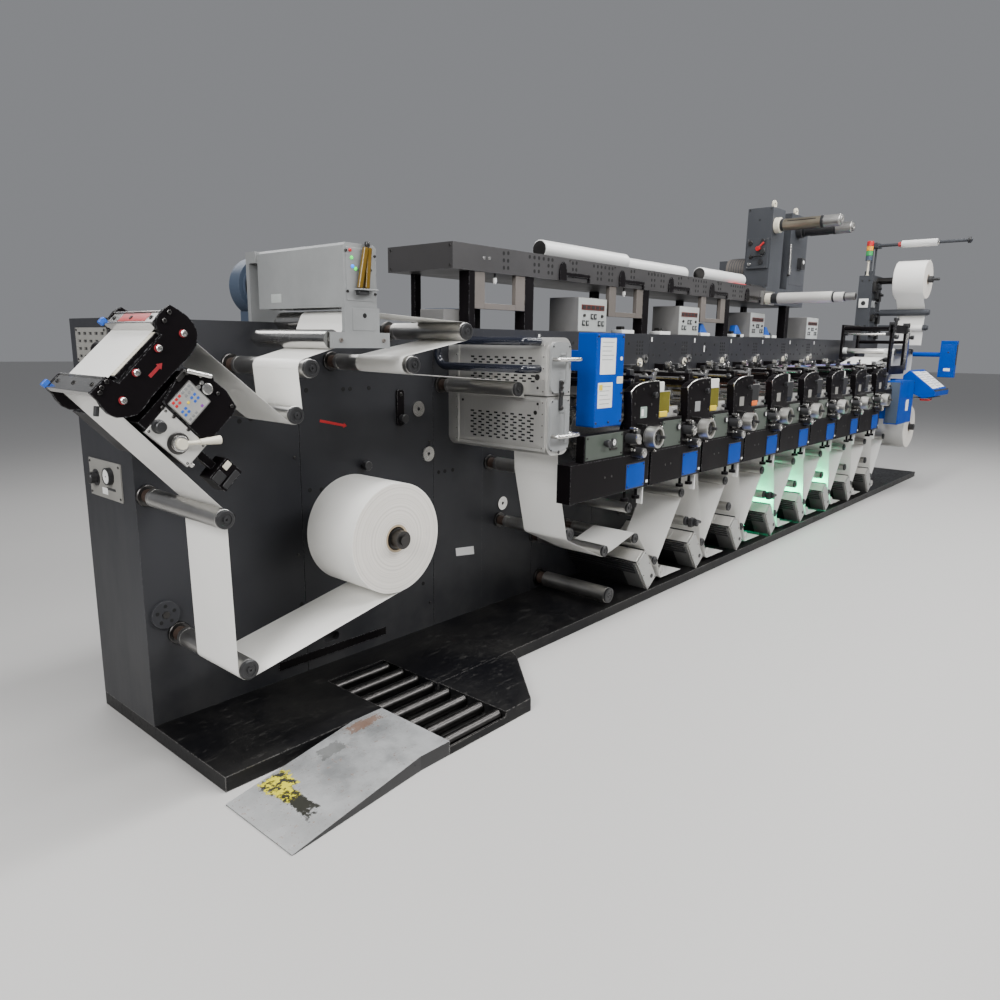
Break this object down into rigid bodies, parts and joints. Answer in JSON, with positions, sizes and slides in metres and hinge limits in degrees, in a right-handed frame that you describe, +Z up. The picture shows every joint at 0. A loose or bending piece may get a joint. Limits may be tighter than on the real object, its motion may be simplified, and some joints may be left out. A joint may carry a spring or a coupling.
{
  "type": "flexographic printing press",
  "caption": "Narrow-web flexographic printing press with unwind stand, splice table, print stations in line, lamp dryers, overhead beam, laminating tower and rewind end.",
  "frame": {"origin": "on the floor under the middle of the whole machine's bounding box", "axes": "+X along the line from the unwind end to the rewind end, -Y towards the operator, +Z up"},
  "size_m": [7.4092, 1.156, 2.174],
  "materials": {
    "platform_black": "gloss black paint, scuffed",
    "worn_steel": "black paint worn to bare steel",
    "dark_steel": "oiled dark steel",
    "cabinet_grey": "satin anthracite paint",
    "machine_black": "satin black paint",
    "light_grey": "satin light grey paint",
    "blue_grey": "satin blue-grey paint",
    "grey_green": "satin grey-green paint",
    "beam_grey": "satin dark grey paint",
    "tower_grey": "satin dark grey paint",
    "cover_blue": "satin blue paint",
    "brushed": "brushed stainless steel",
    "bright_steel": "fine turned steel",
    "anodised": "dark hard-anodised aluminium",
    "wheel_aluminium": "turned and polished",
    "black_plastic": "matte black",
    "ivory_plastic": "smooth ivory",
    "label_paper": "satin label paper"
  },
  "bodies": {
    "press": {"base_platform": "platform_black", "loading_ramp": "worn_steel", "loading_bay": "platform_black", "loading_rollers": "dark_steel", "infeed_cabinet": "cabinet_grey", "print_wall": "cabinet_grey", "wall_fittings": "bright_steel", "end_plates": "light_grey", "infeed_idlers": "anodised", "splice_table": "machine_black", "splice_clamps": "bright_steel", "guide_housing": "machine_black", "guide_panels": "bright_steel", "web_sensor": "machine_black", "treater_box": "light_grey", "treater_stand": "light_grey", "treater_rollers": "bright_steel", "treater_blower": "blue_grey", "dryer_boxes": "brushed", "dryer_ends": "light_grey", "dryer_tube": "black_plastic", "drive_cabinet": "cover_blue", "station_plates": "machine_black", "station_bellies": "machine_black", "station_panels": "cover_blue", "print_cylinders": "bright_steel", "ink_trays": "brushed", "regulator_plates": "grey_green", "wheel_bosses": "bright_steel", "station_idlers": "anodised", "uv_lamps": "brushed", "web_infeed": "label_paper", "web_upper": "label_paper", "web_stations": "label_paper", "overhead_beam": "beam_grey", "beam_supports": "machine_black", "top_boxes": "light_grey", "top_tubes": "bright_steel", "laminator_tower": "tower_grey", "nip_roller": "anodised", "die_station": "machine_black", "rewind_tower": "tower_grey", "finishing_cabinet": "cover_blue", "console": "cover_blue", "beacon": "beam_grey"},
    "unwind_spindle": {"unwind_chuck": "dark_steel", "paper_roll": "label_paper"},
    "guide_lever": {"guide_lever": "ivory_plastic"},
    "shaft_low": {"expanding_shaft_low": "anodised"},
    "shaft_high": {"expanding_shaft_high": "anodised"},
    "waste_spindle": {"waste_roll": "label_paper"},
    "rewind_spindle": {"rewind_roll": "label_paper"},
    "wheel_1": {"handwheel_1": "wheel_aluminium"},
    "wheel_2": {"handwheel_2": "wheel_aluminium"},
    "wheel_3": {"handwheel_3": "wheel_aluminium"},
    "wheel_4": {"handwheel_4": "wheel_aluminium"},
    "wheel_5": {"handwheel_5": "wheel_aluminium"},
    "wheel_6": {"handwheel_6": "wheel_aluminium"},
    "wheel_7": {"handwheel_7": "wheel_aluminium"},
    "wheel_8": {"handwheel_8": "wheel_aluminium"}
  },
  "joints": [
    {"name": "unwind_turn", "type": "hinge", "parent": "press", "child": "unwind_spindle", "pos_m": [-2.80941, -0.092, 0.592], "axis": [0, -1, 0], "continuous": true},
    {"name": "guide_lever_swing", "type": "hinge", "parent": "press", "child": "guide_lever", "pos_m": [-3.51654, -0.255, 0.96308], "axis": [0, -1, 0], "range_deg": [-25, 25]},
    {"name": "shaft_low_turn", "type": "hinge", "parent": "press", "child": "shaft_low", "pos_m": [0.93059, -0.007, 2.003], "axis": [0, -1, 0], "continuous": true},
    {"name": "shaft_high_turn", "type": "hinge", "parent": "press", "child": "shaft_high", "pos_m": [1.33459, -0.007, 2.01], "axis": [0, -1, 0], "continuous": true},
    {"name": "waste_turn", "type": "hinge", "parent": "press", "child": "waste_spindle", "pos_m": [3.39459, -0.057, 1.8], "axis": [0, -1, 0], "continuous": true},
    {"name": "rewind_turn", "type": "hinge", "parent": "press", "child": "rewind_spindle", "pos_m": [3.35459, -0.092, 0.5], "axis": [0, -1, 0], "continuous": true},
    {"name": "handwheel_1_turn", "type": "hinge", "parent": "press", "child": "wheel_1", "pos_m": [-1.45141, -0.327, 0.815], "axis": [0, -1, 0], "continuous": true},
    {"name": "handwheel_2_turn", "type": "hinge", "parent": "press", "child": "wheel_2", "pos_m": [-0.95641, -0.327, 0.815], "axis": [0, -1, 0], "continuous": true},
    {"name": "handwheel_3_turn", "type": "hinge", "parent": "press", "child": "wheel_3", "pos_m": [-0.46141, -0.327, 0.815], "axis": [0, -1, 0], "continuous": true},
    {"name": "handwheel_4_turn", "type": "hinge", "parent": "press", "child": "wheel_4", "pos_m": [0.03359, -0.327, 0.815], "axis": [0, -1, 0], "continuous": true},
    {"name": "handwheel_5_turn", "type": "hinge", "parent": "press", "child": "wheel_5", "pos_m": [0.52859, -0.327, 0.815], "axis": [0, -1, 0], "continuous": true},
    {"name": "handwheel_6_turn", "type": "hinge", "parent": "press", "child": "wheel_6", "pos_m": [1.02359, -0.327, 0.815], "axis": [0, -1, 0], "continuous": true},
    {"name": "handwheel_7_turn", "type": "hinge", "parent": "press", "child": "wheel_7", "pos_m": [1.51859, -0.327, 0.815], "axis": [0, -1, 0], "continuous": true},
    {"name": "handwheel_8_turn", "type": "hinge", "parent": "press", "child": "wheel_8", "pos_m": [2.01359, -0.327, 0.815], "axis": [0, -1, 0], "continuous": true}
  ]
}
